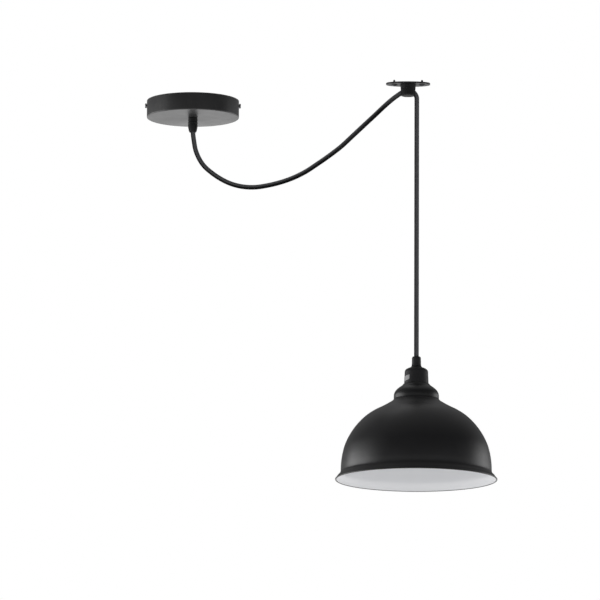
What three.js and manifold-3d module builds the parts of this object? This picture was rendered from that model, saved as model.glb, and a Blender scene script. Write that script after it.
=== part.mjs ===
// Pendant ceiling light on a swagged textile cord.
// A round ceiling canopy feeds the cord through a cord grip; the cord hangs in
// a loop to a separate ceiling hook, turns over inside it and drops to a
// lampholder with a dome shade.
// Millimetres, +Z up. Origin: centre of the canopy's ceiling plane.
// +X points from the canopy towards the hook.
import * as THREE from 'three';
import { mergeVertices } from 'three/addons/utils/BufferGeometryUtils.js';
import Module from 'manifold-3d';

const wasm = await Module();
wasm.setup();

// ---------------------------------------------------------------- dimensions
const GAP = 0.3;                 // clearance between touching pieces

// canopy
const CANOPY_R = 72.5;
const CANOPY_H = 27.2;
const CANOPY_WALL = 1.0;
const CANOPY_HOLE_R = 5.6;
const SIDE_SCREW_Z = -7.7;
const SIDE_SCREW_HEAD_R = 3.7;
const SIDE_SCREW_HEAD_T = 2.5;
const SCREW_SHANK_R = 1.7;
const SCREW_HOLE_R = 2.15;

// mounting bracket
const BRACKET_X = 70.4;
const BRACKET_W = 18;
const BRACKET_T = 1.5;
const BRACKET_DROP = 14;
const SLOT_X = 51;
const SLOT_LEN = 15;
const SLOT_W = 5;
const EARTH_SCREW_X = -26;

// terminal block
const BLOCK_X0 = 14;
const BLOCK_X1 = 40;
const BLOCK_W = 17;
const BLOCK_Z0 = -13.6;
const BLOCK_Z1 = -1.8;
const WAY_PITCH = 5.4;
const WIRE_R = 1.15;

// cord
const CORD_R = 3.5;
const CORD_BORE_R = 3.95;
const CORD_TOP_Z = -14.5;

// canopy cord grip
const GRIP_COLLAR_R = 7.4;
const GRIP_COLLAR_Z = -32.7;
const GRIP_TIP_Z = -50.1;
const GRIP_NIPPLE_R = 5.2;
const LOCKNUT_R = 8.6;

// ceiling hook
const HOOK_X = 336.4;
const HOOK_Y = -148;
const HOOK_PLATE_T = 2.2;
const HOOK_PLATE_HALF = 34.3;
const HOOK_PLATE_DEPTH = 16.5;
const HOOK_PLATE_POWER = 2.3;
const HOOK_SCREW_X = 21.6;
const HOOK_SCREW_TIP_Z = 5.6;
const HOOK_HUB_R = 8.6;
const HOOK_HUB_Z = -5.9;
const HOOK_CAP_R = 11.7;
const HOOK_CAP_IN_R = 9.8;
const HOOK_CAP_Z = -20.0;
const HOOK_CAP_FLOOR_Z = -16.8;

// drop
const DROP_X = 350.0;
const DROP_Y = HOOK_Y;
const SWING_SIDE_Z = -26;
const SWING_FRONT_Z = -43;
const SWING_GAP = 0.9;

// lamp head, heights above the shade's rim plane
const RIM_Z = -623;
const GRIP_TOP = 192.5;
const CAP_TOP = 178.2;
const CAP_FOOT = 149.8;
const SHADE_TOP = 149.4;
const SHADE_WALL = 1.0;
const SHADE_HOLE_R = 17.5;
const SHADE_RIM_R = 125.1;
const BEAD_R = 1.15;
const SHELL_IN_R = 13.4;
const SHELL_OUT_R = 13.8;
const BULB_TIP = 39;
const BULB_R = 30;

// loop of cord from the canopy's grip to the hook: distance along the line
// from the canopy towards the hook, and height
const SWAG = [
  [0, CORD_TOP_Z], [0, -29.6], [0, -43.6], [0.5, -52.6], [2.0, -63.2], [5.4, -79.5],
  [12.3, -94.6], [20.8, -106.2], [32.5, -116.6], [47.5, -127.2], [65.5, -136.7],
  [86.0, -143.2], [108.0, -145.9], [130.0, -144.7], [152.0, -141.4],
  [173.5, -136.0], [195.0, -127.8], [215.5, -116.9], [235.6, -105.4],
  [255.5, -92.7], [275.8, -76.8], [294.2, -62.2], [312.7, -48.0],
  [331.0, -33.9], [345.0, -23.6],
];
const SWAG_ENTRY_X = HOOK_X - 12.4;   // where the loop's line meets the hook
// turn over inside the hook: offset from the hook's axis, and height
const TURN = [
  [-8.9, -14.0], [-5.2, -11.5], [-1.2, -10.3], [2.8, -10.7], [6.6, -12.6],
  [9.9, -15.6], [12.2, -19.0], [13.3, -22.0], [13.6, -24.2],
];

// ------------------------------------------------------------------- helpers
const mm = (c, r, m) => new THREE.MeshStandardMaterial({ color: c, roughness: r, metalness: m });

function plain(geometry) {
  const g = geometry.index ? geometry.toNonIndexed() : geometry.clone();
  for (const k of Object.keys(g.attributes)) if (k !== 'position') g.deleteAttribute(k);
  const m = mergeVertices(g, 1e-4);
  const p = m.attributes.position;
  const idx = [];
  let vol = 0;
  const a = new THREE.Vector3(), b = new THREE.Vector3(), c = new THREE.Vector3();
  for (let i = 0; i < m.index.count; i += 3) {
    const i0 = m.index.getX(i), i1 = m.index.getX(i + 1), i2 = m.index.getX(i + 2);
    if (i0 === i1 || i1 === i2 || i2 === i0) continue;
    idx.push(i0, i1, i2);
    a.fromBufferAttribute(p, i0); b.fromBufferAttribute(p, i1); c.fromBufferAttribute(p, i2);
    vol += a.dot(b.cross(c)) / 6;
  }
  if (vol < 0) for (let i = 0; i < idx.length; i += 3) { const t = idx[i + 1]; idx[i + 1] = idx[i + 2]; idx[i + 2] = t; }
  m.setIndex(idx);
  return m;
}

function toSolid(geometry) {
  const g = plain(geometry);
  const s = new wasm.Manifold(new wasm.Mesh({
    numProp: 3,
    vertProperties: new Float32Array(g.attributes.position.array),
    triVerts: new Uint32Array(g.index.array),
  }));
  return s;
}

function fromSolid(solid) {
  const m = solid.getMesh();
  const g = new THREE.BufferGeometry();
  const n = m.vertProperties.length / m.numProp;
  const pos = new Float32Array(n * 3);
  for (let i = 0; i < n; i++) for (let k = 0; k < 3; k++) pos[3 * i + k] = m.vertProperties[i * m.numProp + k];
  g.setAttribute('position', new THREE.BufferAttribute(pos, 3));
  g.setIndex(new THREE.BufferAttribute(new Uint32Array(m.triVerts), 1));
  return g;
}

// revolve a profile of [radius, height] about the Z axis; a profile that stays
// off the axis is closed on itself
function lathe(profile, segments) {
  const pts = profile.map(([r, z]) => new THREE.Vector2(r, z));
  const first = pts[0], last = pts[pts.length - 1];
  if (!(first.x === 0 && last.x === 0)) pts.push(first.clone());
  const g = new THREE.LatheGeometry(pts, segments);
  g.rotateX(Math.PI / 2);
  return plain(g);
}

function ring(rIn, rOut, z0, z1, segments) {
  return lathe([[rIn, z0], [rOut, z0], [rOut, z1], [rIn, z1]], segments);
}

function rod(r, z0, z1, segments) {
  return lathe([[0, z0], [r, z0], [r, z1], [0, z1]], segments);
}

function box(x0, x1, y0, y1, z0, z1) {
  const g = new THREE.BoxGeometry(x1 - x0, y1 - y0, z1 - z0);
  g.translate((x0 + x1) / 2, (y0 + y1) / 2, (z0 + z1) / 2);
  return g;
}

function at(geometry, x, y, z) { geometry.translate(x, y, z); return geometry; }

function alongX(geometry) { geometry.rotateY(Math.PI / 2); return geometry; }

function cut(geometry, ...tools) {
  let s = toSolid(geometry);
  for (const t of tools) s = s.subtract(toSolid(t));
  return fromSolid(s);
}

function join(geometry, ...more) {
  let s = toSolid(geometry);
  for (const t of more) s = s.add(toSolid(t));
  return fromSolid(s);
}

// round bar of radius r along a list of points
function tube(points, r, sides, steps) {
  const curve = points.length === 2
    ? new THREE.LineCurve3(points[0], points[1])
    : new THREE.CatmullRomCurve3(points, false, 'centripetal');
  const s = new THREE.Shape();
  for (let i = 0; i < sides; i++) {
    const a = (i / sides) * Math.PI * 2;
    if (i === 0) s.moveTo(r, 0); else s.lineTo(r * Math.cos(a), r * Math.sin(a));
  }
  s.closePath();
  return plain(new THREE.ExtrudeGeometry(s, { steps, bevelEnabled: false, extrudePath: curve }));
}

const V = (x, y, z) => new THREE.Vector3(x, y, z);

const root = new THREE.Group();
function put(name, geometry, material, parent = root) {
  const g = plain(geometry);
  g.computeVertexNormals();
  const m = new THREE.Mesh(g, material);
  m.name = name;
  parent.add(m);
  return m;
}

// ----------------------------------------------------------------- materials
const blackPaint = () => mm(0x232427, 0.42, 0.0);
const blackPlastic = () => mm(0x1d1d1f, 0.5, 0.0);
const zinc = () => mm(0xb8bcc0, 0.35, 1.0);
const brass = () => mm(0xc9a45a, 0.3, 1.0);
const nickel = () => mm(0xc4c2bc, 0.3, 1.0);
const textile = () => mm(0x202022, 0.9, 0.0);
const whitePlastic = () => mm(0xe8e6e0, 0.5, 0.0);

// -------------------------------------------------------------------- canopy
{
  const R = CANOPY_R, H = CANOPY_H, w = CANOPY_WALL;
  const shell = lathe([
    [R - w, 0], [R, 0], [R, -H + 2.4], [R - 0.6, -H + 0.8], [R - 2.0, -H],
    [CANOPY_HOLE_R, -H], [CANOPY_HOLE_R, -H + w], [R - 2.6, -H + w], [R - w, -H + 2.9],
  ], 48);
  const hole = alongX(rod(SCREW_HOLE_R, -90, 90, 16));
  put('canopy_shell', cut(shell, at(hole, 0, 0, SIDE_SCREW_Z)), blackPaint());
}

{
  const hw = BRACKET_W / 2, t = BRACKET_T;
  const s = new THREE.Shape();
  s.moveTo(-BRACKET_X, -hw); s.lineTo(BRACKET_X, -hw); s.lineTo(BRACKET_X, hw); s.lineTo(-BRACKET_X, hw); s.closePath();
  for (const sx of [-1, 1]) {
    const h = new THREE.Path();
    const c = SLOT_X * sx, l = (SLOT_LEN - SLOT_W) / 2, r = SLOT_W / 2;
    const pts = [];
    for (let i = 0; i <= 8; i++) { const a = -Math.PI / 2 + (i / 8) * Math.PI; pts.push([c + l + r * Math.cos(a), r * Math.sin(a)]); }
    for (let i = 0; i <= 8; i++) { const a = Math.PI / 2 + (i / 8) * Math.PI; pts.push([c - l + r * Math.cos(a), r * Math.sin(a)]); }
    pts.forEach(([x, y], i) => (i ? h.lineTo(x, y) : h.moveTo(x, y)));
    h.closePath();
    s.holes.push(h);
  }
  const bar = new THREE.ExtrudeGeometry(s, { depth: t, bevelEnabled: false, steps: 1 });
  bar.translate(0, 0, -t);
  const tabs = [-1, 1].map((sx) => box(sx < 0 ? -BRACKET_X : BRACKET_X - t, sx < 0 ? -BRACKET_X + t : BRACKET_X, -hw, hw, -BRACKET_DROP, 0));
  const joined = join(bar, ...tabs);
  const tabHole = at(alongX(rod(SCREW_HOLE_R, -90, 90, 16)), 0, 0, SIDE_SCREW_Z);
  const earthHole = at(rod(SCREW_HOLE_R, -5, 5, 16), EARTH_SCREW_X, 0, 0);
  put('mounting_bracket', cut(joined, tabHole, earthHole), zinc());
}

for (const [name, sx] of [['canopy_screw_left', -1], ['canopy_screw_right', 1]]) {
  const x0 = CANOPY_R + GAP;
  const g = lathe([
    [0, 66], [1.1, 66], [SCREW_SHANK_R, 67], [SCREW_SHANK_R, x0], [SIDE_SCREW_HEAD_R, x0],
    [SIDE_SCREW_HEAD_R, x0 + SIDE_SCREW_HEAD_T - 0.5], [SIDE_SCREW_HEAD_R - 0.5, x0 + SIDE_SCREW_HEAD_T], [0, x0 + SIDE_SCREW_HEAD_T],
  ], 16);
  g.rotateY(sx > 0 ? Math.PI / 2 : -Math.PI / 2);
  put(name, at(g, 0, 0, SIDE_SCREW_Z), blackPaint());
}

{
  const top = -BRACKET_T - GAP;
  const g = lathe([
    [0, -0.3], [SCREW_SHANK_R, -0.3], [SCREW_SHANK_R, top], [3.9, top], [3.9, top - 1.4], [2.6, top - 2.4], [0, top - 2.4],
  ], 20);
  put('earth_screw', at(g, EARTH_SCREW_X, 0, 0), nickel());
}

{
  const tools = [];
  for (const k of [-1, 0, 1]) {
    tools.push(at(alongX(rod(1.9, 0, 60, 10)), 0, k * WAY_PITCH, -9.2));
    tools.push(at(rod(2.15, -20, -9.2, 10), 20, k * WAY_PITCH, 0));
    tools.push(at(rod(2.15, -20, -9.2, 10), 34, k * WAY_PITCH, 0));
  }
  put('terminal_block', cut(box(BLOCK_X0, BLOCK_X1, -BLOCK_W / 2, BLOCK_W / 2, BLOCK_Z0, BLOCK_Z1), ...tools), whitePlastic());
}
['terminal_screw_live', 'terminal_screw_earth', 'terminal_screw_neutral'].forEach((name, i) => {
  const g = lathe([[0, -10.9], [1.75, -10.9], [1.75, -13.0], [1.4, -13.3], [0, -13.3]], 10);
  put(name, at(g, 20, (i - 1) * WAY_PITCH, 0), brass());
});

put('wire_live', tube([V(1.5, -1.6, -13.2), V(3.4, -3.2, -11.2), V(7.0, -5.0, -9.6), V(12.0, -WAY_PITCH, -9.2), V(17.5, -WAY_PITCH, -9.2)], WIRE_R, 6, 7), mm(0x6b3f24, 0.5, 0));
put('wire_neutral', tube([V(1.5, 1.6, -13.2), V(3.4, 3.2, -11.2), V(7.0, 5.0, -9.6), V(12.0, WAY_PITCH, -9.2), V(17.5, WAY_PITCH, -9.2)], WIRE_R, 6, 7), mm(0x2c5aa0, 0.5, 0));
put('wire_earth', tube([V(-2.0, 0, -13.2), V(-3.8, 0, -10.8), V(-8.0, 0, -8.4), V(-15.0, 0, -7.4), V(-22.0, 0, -6.9), V(-26.0, 0, -5.9)], WIRE_R, 6, 8), mm(0x5f8f3a, 0.5, 0));

// ------------------------------------------------------- canopy's cord grip
{
  const z1 = -CANOPY_H + CANOPY_WALL + GAP;
  const s = new THREE.Shape();
  for (let i = 0; i < 6; i++) { const a = (i / 6) * Math.PI * 2; const x = LOCKNUT_R * Math.cos(a), y = LOCKNUT_R * Math.sin(a); if (i) s.lineTo(x, y); else s.moveTo(x, y); }
  s.closePath();
  const h = new THREE.Path();
  for (let i = 0; i < 24; i++) { const a = -(i / 24) * Math.PI * 2; const x = 5.6 * Math.cos(a), y = 5.6 * Math.sin(a); if (i) h.lineTo(x, y); else h.moveTo(x, y); }
  h.closePath();
  s.holes.push(h);
  const g = new THREE.ExtrudeGeometry(s, { depth: 4.5, bevelEnabled: false, steps: 1 });
  put('canopy_grip_locknut', at(g, 0, 0, z1), blackPlastic());
}
put('canopy_grip_body', lathe([
  [CORD_BORE_R, -20.1], [GRIP_NIPPLE_R - 0.4, -20.1], [GRIP_NIPPLE_R, -20.6], [GRIP_NIPPLE_R, -CANOPY_H - GAP],
  [GRIP_COLLAR_R - 0.3, -CANOPY_H - GAP], [GRIP_COLLAR_R, -CANOPY_H - GAP - 0.6], [GRIP_COLLAR_R, GRIP_COLLAR_Z + 0.5],
  [GRIP_COLLAR_R - 0.4, GRIP_COLLAR_Z], [CORD_BORE_R, GRIP_COLLAR_Z],
], 22), blackPlastic());
{
  const z0 = GRIP_COLLAR_Z - GAP;
  const sleeve = lathe([
    [CORD_BORE_R, z0], [7.2, z0], [7.6, z0 - 0.8], [7.5, -41.7], [6.5, -46.3], [5.6, GRIP_TIP_Z + 0.7], [5.1, GRIP_TIP_Z], [CORD_BORE_R, GRIP_TIP_Z],
  ], 22);
  const slots = [box(-10, 10, -0.5, 0.5, GRIP_TIP_Z - 1, -37.7), box(-0.5, 0.5, -10, 10, GRIP_TIP_Z - 1, -37.7)];
  put('canopy_grip_sleeve', cut(sleeve, ...slots), blackPlastic());
}

// ---------------------------------------------------------------------- cord
const lineLen = Math.hypot(SWAG_ENTRY_X, HOOK_Y);
const swagPoint = ([u, z]) => {
  // near the hook the loop swings in plan to run along X through the hook
  const t = Math.max(0, (u - 300) / (lineLen - 300));
  const ease = t * t * (3 - 2 * t);
  const x = (u / lineLen) * SWAG_ENTRY_X;
  const y = (u / lineLen) * HOOK_Y;
  return V(x, y + (HOOK_Y - y) * ease * 0.8, z);
};
const turnPoint = ([dx, z]) => V(HOOK_X + dx, HOOK_Y, z);
const firstCord = [
  ...SWAG.map(swagPoint),
  ...TURN.map(turnPoint),
  V(DROP_X, DROP_Y, SWING_SIDE_Z + SWING_GAP),
];
put('swag_cord', tube(firstCord, CORD_R, 8, 60), textile());
put('bend_cord', tube([V(DROP_X, DROP_Y, SWING_SIDE_Z - SWING_GAP), V(DROP_X, DROP_Y, SWING_FRONT_Z + SWING_GAP)], CORD_R, 10, 1), textile());
put('drop_cord', tube([V(DROP_X, DROP_Y, SWING_FRONT_Z - SWING_GAP), V(DROP_X, DROP_Y, RIM_Z + 166)], CORD_R, 10, 8), textile());

// -------------------------------------------------------------- ceiling hook
{
  // an oval a little squarer than an ellipse
  const up = [];
  for (let i = 0; i <= 24; i++) {
    const a = (i / 24) * Math.PI, k = 2 / HOOK_PLATE_POWER;
    up.push([Math.sign(Math.cos(a)) * HOOK_PLATE_HALF * Math.abs(Math.cos(a)) ** k, HOOK_PLATE_DEPTH * Math.abs(Math.sin(a)) ** k]);
  }
  const s = new THREE.Shape();
  up.forEach(([x, y], i) => (i ? s.lineTo(x, y) : s.moveTo(x, y)));
  for (let i = up.length - 2; i > 0; i--) s.lineTo(up[i][0], -up[i][1]);
  s.closePath();
  const plate = new THREE.ExtrudeGeometry(s, { depth: HOOK_PLATE_T, bevelEnabled: false, steps: 1 });
  plate.translate(0, 0, -HOOK_PLATE_T);
  const hub = rod(HOOK_HUB_R, HOOK_HUB_Z, -0.8, 32);
  const body = join(plate, hub);
  const holes = [-1, 1].map((k) => at(rod(SCREW_HOLE_R, -6, 2, 14), k * HOOK_SCREW_X, 0, 0));
  put('hook_base', at(cut(body, ...holes), HOOK_X, HOOK_Y, 0), blackPlastic());
}
{
  const cup = lathe([
    [0, HOOK_CAP_Z], [HOOK_CAP_R - 1.6, HOOK_CAP_Z], [HOOK_CAP_R - 0.4, HOOK_CAP_Z + 0.6], [HOOK_CAP_R, HOOK_CAP_Z + 1.8],
    [HOOK_CAP_R, -4.6], [HOOK_CAP_R + 0.7, -HOOK_PLATE_T - GAP], [HOOK_CAP_IN_R, -HOOK_PLATE_T - GAP], [HOOK_CAP_IN_R, HOOK_CAP_FLOOR_Z], [0, HOOK_CAP_FLOOR_Z],
  ], 40);
  at(cup, HOOK_X, HOOK_Y, 0);
  const pts = [...SWAG.slice(-3).map(swagPoint), ...TURN.map(turnPoint), V(DROP_X, DROP_Y, SWING_SIDE_Z)];
  const channel = tube(pts, CORD_BORE_R + 0.4, 12, 26);
  const slot = box(HOOK_X - 14, HOOK_X + 14, HOOK_Y - CORD_BORE_R, HOOK_Y + CORD_BORE_R, -12.6, 0);
  put('hook_cap', cut(cup, slot, channel), blackPlastic());
}
for (const [name, k] of [['hook_screw_left', -1], ['hook_screw_right', 1]]) {
  const top = -HOOK_PLATE_T - GAP;
  const g = lathe([
    [0, HOOK_SCREW_TIP_Z], [1.1, HOOK_SCREW_TIP_Z - 0.4], [SCREW_SHANK_R, HOOK_SCREW_TIP_Z - 2.0], [SCREW_SHANK_R, top], [3.6, top], [3.6, top - 0.8], [2.3, top - 2.0], [0, top - 2.2],
  ], 14);
  put(name, at(g, HOOK_X + k * HOOK_SCREW_X, HOOK_Y, 0), nickel());
}

// ----------------------------------------------------------------- lamp head
const head = new THREE.Group();
head.position.set(DROP_X, DROP_Y, RIM_Z);
root.add(head);

put('holder_grip', lathe([
  [CORD_BORE_R, CAP_TOP + GAP], [7.4, CAP_TOP + GAP], [7.1, 182.5], [7.0, 187.5], [6.8, 190.4], [6.0, GRIP_TOP - 0.3], [5.3, GRIP_TOP], [CORD_BORE_R, GRIP_TOP],
], 22), blackPlastic(), head);

put('holder_cap', lathe([
  [CORD_BORE_R, 172.6], [CORD_BORE_R, CAP_TOP], [7.6, CAP_TOP], [8.4, 176.6], [9.8, 175.4], [11.9, 174.4], [14.2, 173.4], [16.1, 172.2],
  [17.4, 170.9], [18.1, 169.2], [18.2, 166.5], [18.9, CAP_FOOT], [16.3, CAP_FOOT], [16.3, 166.0], [14.5, 169.2], [10.0, 171.4],
], 26), blackPlastic(), head);

{
  const inner = (z) => 18.2 + (18.9 - 18.2) * (166.5 - z) / (166.5 - CAP_FOOT) + GAP;
  const band = lathe([[inner(151.2), 151.2], [inner(151.2) + 0.25, 151.2], [inner(163.6) + 0.25, 163.6], [inner(163.6), 163.6]], 48);
  // slanted keeper: a sector on the left front, bounded by two sloping planes
  const s = new THREE.Shape();
  s.moveTo(-26, 151.8); s.lineTo(-10.6, 155.0); s.lineTo(-10.6, 162.4); s.lineTo(-26, 159.2); s.closePath();
  const g = new THREE.ExtrudeGeometry(s, { depth: 22, bevelEnabled: false, steps: 1 });
  g.rotateX(Math.PI / 2);
  g.translate(0, 3, 0);
  put('rating_label', fromSolid(toSolid(band).intersect(toSolid(g))), mm(0xbfc0c2, 0.4, 0.4), head);
}

put('holder_body', lathe([
  [14.6, 117], [16.6, 117], [17.0, 117.6], [17.0, SHADE_TOP - 0.2], [15.9, SHADE_TOP - 0.2], [15.9, 157.5], [14.6, 157.5],
], 30), blackPlastic(), head);
put('shade_ring', lathe([
  [17.4, 139.0], [19.2, 139.0], [19.5, 139.5], [19.5, SHADE_TOP - SHADE_WALL - GAP], [17.4, SHADE_TOP - SHADE_WALL - GAP],
], 30), blackPlastic(), head);
put('socket_insulator', cut(rod(14.2, 149.3, 155.0, 32), at(rod(1.6, 140, 160, 12), 0, 5.5, 0)), whitePlastic(), head);
put('screw_shell', lathe([
  [SHELL_IN_R, 122.5], [SHELL_OUT_R + 0.3, 122.5], [SHELL_OUT_R, 123.6], [SHELL_OUT_R, 149.0], [8.0, 149.0], [8.0, 148.5], [SHELL_IN_R, 148.5],
], 30), brass(), head);
put('centre_contact', lathe([[0, 147.2], [2.2, 147.2], [3.4, 147.7], [3.4, 149.0], [0, 149.0]], 16), brass(), head);
for (const [name, k] of [['holder_terminal_live', -1], ['holder_terminal_neutral', 1]]) {
  put(name, at(lathe([[0, 155.3], [2.6, 155.3], [2.6, 157.2], [2.1, 157.8], [0, 157.8]], 16), 8.5 * k, 0, 0), brass(), head);
}
put('holder_wire_live', tube([V(-1.9, 0, 164.9), V(-3.2, 0, 162.9), V(-6.4, 0, 161.2), V(-8.5, 0, 158.4)], WIRE_R, 6, 5), mm(0x6b3f24, 0.5, 0), head);
put('holder_wire_neutral', tube([V(1.9, 0, 164.9), V(3.2, 0, 162.9), V(6.4, 0, 161.2), V(8.5, 0, 158.4)], WIRE_R, 6, 5), mm(0x2c5aa0, 0.5, 0), head);

// shade: outer line from the top hole down over neck and dome to the flare
{
  const outer = [
    [20.2, SHADE_TOP], [22.3, 146.9], [24.8, 145.2], [27.9, 142.9], [30.7, 140.4], [33.1, 137.3], [34.5, 133.8], [34.9, 130.8], [34.5, 127.3],
    [34.8, 125.7], [37.2, 123.1], [41.8, 120.1], [47.5, 116.7], [55.1, 112.6], [65.0, 107.6], [75.7, 100.7], [86.5, 91.1], [96.1, 79.8],
    [104.3, 66.9], [110.5, 53.1], [114.4, 37.5], [116.1, 24.0], [116.5, 12.6], [117.4, 10.4], [119.6, 8.2], [123.0, 3.4],
  ];
  const t = SHADE_WALL;
  const inner = [];
  for (let i = 0; i < outer.length; i++) {
    const a = outer[Math.max(0, i - 1)], b = outer[Math.min(outer.length - 1, i + 1)];
    const dx = b[0] - a[0], dz = b[1] - a[1], l = Math.hypot(dx, dz);
    // inward normal points to the axis and down
    inner.push([outer[i][0] + (dz / l) * t, outer[i][1] - (dx / l) * t]);
  }
  inner[0] = [19.6, SHADE_TOP - t];
  const bead = [];
  const bc = [SHADE_RIM_R - BEAD_R, 0.7];
  for (let i = 0; i <= 4; i++) {
    const a = Math.PI * (0.42 - (i / 4) * 1.45);
    bead.push([bc[0] + BEAD_R * Math.cos(a), bc[1] + BEAD_R * Math.sin(a)]);
  }
  const skip = new Set([2, 4, 6, 7, 10, 12, 14, 16, 18, 20, 24]);
  const back = inner.filter((_, i) => !skip.has(i)).reverse();
  put('shade', lathe([[SHADE_HOLE_R, SHADE_TOP], ...outer, ...bead, ...back, [SHADE_HOLE_R, SHADE_TOP - t]], 44), blackPaint(), head);
}

// ---------------------------------------------------------------------- bulb
put('bulb_contact', lathe([[0, 146.9], [2.4, 146.6], [3.6, 145.6], [3.6, 144.9], [0, 144.9]], 18), nickel(), head);
put('bulb_insulator', lathe([[0, 144.6], [4.2, 144.6], [9.4, 142.2], [9.4, 141.4], [0, 141.4]], 24), mm(0x17171a, 0.2, 0), head);
put('bulb_base', lathe([
  [9.9, 142.0], [11.6, 141.4], [12.9, 139.4], [13.0, 121.0], [12.4, 118.7], [12.25, 119.0], [12.4, 121.0], [12.4, 139.0], [11.2, 140.8], [9.9, 141.2],
], 26), nickel(), head);
{
  const out = [[0, BULB_TIP]];
  const c = BULB_TIP + BULB_R;
  for (let i = 1; i <= 7; i++) { const a = (i / 7) * Math.PI / 2; out.push([BULB_R * Math.sin(a), c - BULB_R * Math.cos(a)]); }
  out.push([29.4, 78.0], [26.6, 87.5], [22.0, 97.0], [17.4, 105.5], [14.4, 112.0], [13.2, 117.6], [11.9, 118.6], [11.9, 124.0]);
  const inn = [[11.1, 124.0], [11.1, 118.2], [12.3, 117.0], [13.5, 111.8], [21.1, 96.6], [25.7, 87.2], [28.5, 77.8]];
  for (let i = 7; i >= 1; i -= 2) { const a = (i / 7) * Math.PI / 2; inn.push([(BULB_R - 0.9) * Math.sin(a), c - (BULB_R - 0.9) * Math.cos(a)]); }
  inn.push([0, BULB_TIP + 0.9]);
  put('bulb_globe', lathe([...out, ...inn], 20), mm(0xf2f0ea, 0.35, 0), head);
}

export default root;
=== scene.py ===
import math

import bpy
import bmesh
import numpy as np
from mathutils import Matrix, Vector


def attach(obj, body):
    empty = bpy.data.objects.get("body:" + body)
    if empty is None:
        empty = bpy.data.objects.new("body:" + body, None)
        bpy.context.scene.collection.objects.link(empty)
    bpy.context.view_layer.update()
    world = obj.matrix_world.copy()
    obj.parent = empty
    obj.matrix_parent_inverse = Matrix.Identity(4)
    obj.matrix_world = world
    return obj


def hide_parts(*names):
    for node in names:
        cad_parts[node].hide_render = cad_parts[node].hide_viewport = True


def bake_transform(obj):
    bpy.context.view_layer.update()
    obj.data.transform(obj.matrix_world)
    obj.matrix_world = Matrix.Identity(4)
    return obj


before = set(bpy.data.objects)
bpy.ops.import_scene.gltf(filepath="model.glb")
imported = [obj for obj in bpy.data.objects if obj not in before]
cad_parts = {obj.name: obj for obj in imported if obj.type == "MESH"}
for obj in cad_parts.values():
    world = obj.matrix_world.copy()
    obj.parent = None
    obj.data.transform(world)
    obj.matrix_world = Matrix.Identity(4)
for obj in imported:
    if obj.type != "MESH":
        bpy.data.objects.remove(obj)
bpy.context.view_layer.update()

MM = 0.001
scene = bpy.context.scene

# --------------------------------------------------------------- dimensions
CANOPY_R, CANOPY_H, CANOPY_WALL = 72.5, 27.2, 1.0
SIDE_SCREW_Z = -7.7
HOOK_X, HOOK_Y = 336.4, -148.0
DROP_X, DROP_Y = 350.0, -148.0
RIM_Z = -623.0
CORD_R = 3.5
SWING_SIDE_Z, SWING_FRONT_Z = -26.0, -43.0
SPLIT_Z = -34.5

# ------------------------------------------------------------------- camera
cam_data = bpy.data.cameras.new("camera")
cam = bpy.data.objects.new("camera", cam_data)
scene.collection.objects.link(cam)
cam_data.lens = 444.73
cam_data.sensor_width = 36.0
cam_data.clip_start, cam_data.clip_end = 0.1, 200.0
cam.location = (0.1698, -11.444, -2.29587)
cam.rotation_euler = (Matrix.Rotation(math.radians(90 + 9.811), 3, "X") @ Matrix.Rotation(math.radians(0.25), 3, "Z")).to_euler()
scene.camera = cam

# ----------------------------------------------------------- material tools


def new_material(name):
    m = bpy.data.materials.new(name)
    m.use_nodes = True
    nt = m.node_tree
    nt.nodes.clear()
    out = nt.nodes.new("ShaderNodeOutputMaterial")
    bsdf = nt.nodes.new("ShaderNodeBsdfPrincipled")
    nt.links.new(bsdf.outputs["BSDF"], out.inputs["Surface"])
    return m, nt, bsdf


def noise(nt, coord, scale, detail=3.0, rough=0.5, dims=None):
    n = nt.nodes.new("ShaderNodeTexNoise")
    n.inputs["Scale"].default_value = scale
    n.inputs["Detail"].default_value = detail
    n.inputs["Roughness"].default_value = rough
    src = coord
    if dims is not None:
        mp = nt.nodes.new("ShaderNodeMapping")
        mp.inputs["Scale"].default_value = dims
        nt.links.new(coord, mp.inputs["Vector"])
        src = mp.outputs["Vector"]
    nt.links.new(src, n.inputs["Vector"])
    return n.outputs["Fac"]


def remap(nt, fac, lo, hi, a=0.3, b=0.7):
    r = nt.nodes.new("ShaderNodeMapRange")
    r.inputs["From Min"].default_value = a
    r.inputs["From Max"].default_value = b
    r.inputs["To Min"].default_value = lo
    r.inputs["To Max"].default_value = hi
    nt.links.new(fac, r.inputs["Value"])
    return r.outputs["Result"]


def ramp(nt, fac, stops):
    r = nt.nodes.new("ShaderNodeValToRGB")
    el = r.color_ramp.elements
    while len(el) < len(stops):
        el.new(0.5)
    for e, (p, c) in zip(el, stops):
        e.position = p
        e.color = (*c, 1.0)
    nt.links.new(fac, r.inputs["Fac"])
    return r.outputs["Color"]


def bump(nt, height, distance, strength=1.0, after=None):
    b = nt.nodes.new("ShaderNodeBump")
    b.inputs["Distance"].default_value = distance
    b.inputs["Strength"].default_value = strength
    nt.links.new(height, b.inputs["Height"])
    if after is not None:
        nt.links.new(after, b.inputs["Normal"])
    return b.outputs["Normal"]


def obj_coord(nt):
    return nt.nodes.new("ShaderNodeTexCoord").outputs["Object"]


def vary(c, k):
    return tuple(max(0.0, min(1.0, x * k)) for x in c)


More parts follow.
